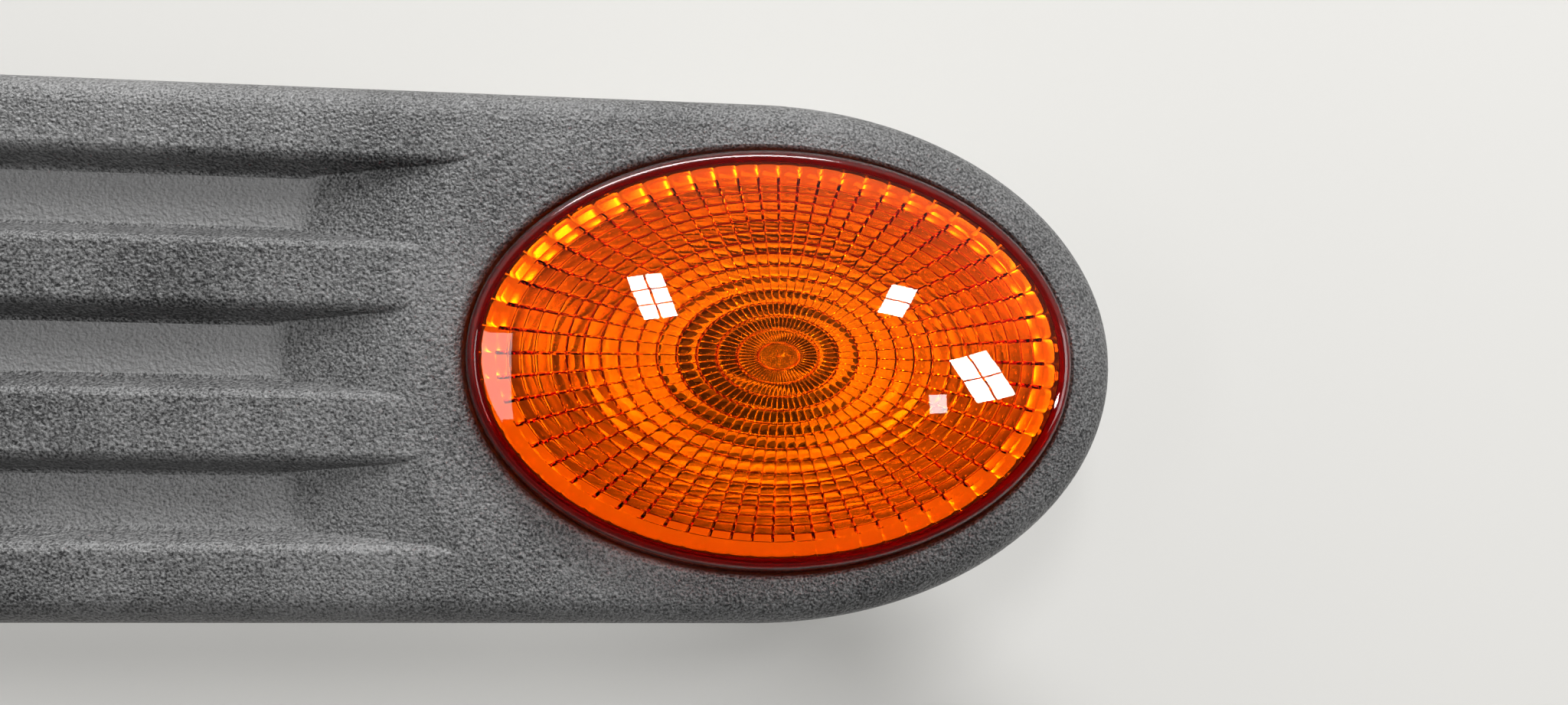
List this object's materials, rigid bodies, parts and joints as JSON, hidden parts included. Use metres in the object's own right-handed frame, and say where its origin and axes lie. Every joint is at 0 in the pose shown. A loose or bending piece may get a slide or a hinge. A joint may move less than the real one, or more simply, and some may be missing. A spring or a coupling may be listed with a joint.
{
  "type": "side repeater lamp",
  "caption": "Oval amber side repeater lamp set in the rounded end of a grooved black body moulding, with housing, reflector, wedge bulb in a bayonet holder, fixing studs and clips.",
  "frame": {"origin": "on the body panel's outer surface, midway between the two fixing studs", "axes": "+X along the moulding towards the rounded end with the lamp, +Y across the moulding, +Z out of the car body"},
  "size_m": [0.1859, 0.0686, 0.066],
  "materials": {
    "trim_plastic": "fine grained",
    "foam": "closed-cell foam",
    "amber_acrylic": "clear moulded, polished outside",
    "seal_rubber": "moulded silicone",
    "housing_plastic": "moulded",
    "mirror_coat": "vacuum metallised",
    "zinc_steel": "zinc plated",
    "holder_plastic": "moulded",
    "contact_brass": "tinned spring brass",
    "bulb_glass": "clear",
    "tungsten": "drawn wire",
    "lead_wire": "drawn wire",
    "clip_plastic": "natural moulded"
  },
  "bodies": {
    "root": {"trim_cover": "trim_plastic", "edge_seal": "foam", "lens": "amber_acrylic", "lens_gasket": "foam", "lens_seal": "seal_rubber", "lamp_housing": "housing_plastic", "reflector": "mirror_coat", "housing_screws": "zinc_steel", "bulb_holder": "holder_plastic", "holder_seal": "seal_rubber", "contact_left": "contact_brass", "contact_right": "contact_brass", "bulb_glass": "bulb_glass", "bulb_filament": "tungsten", "bulb_support_left": "lead_wire", "bulb_support_right": "lead_wire", "bulb_leads": "lead_wire", "stud_front": "zinc_steel", "stud_rear": "zinc_steel", "clip_upper_front": "clip_plastic", "clip_lower_front": "clip_plastic", "clip_upper_rear": "clip_plastic", "clip_lower_rear": "clip_plastic"}
  },
  "joints": []
}
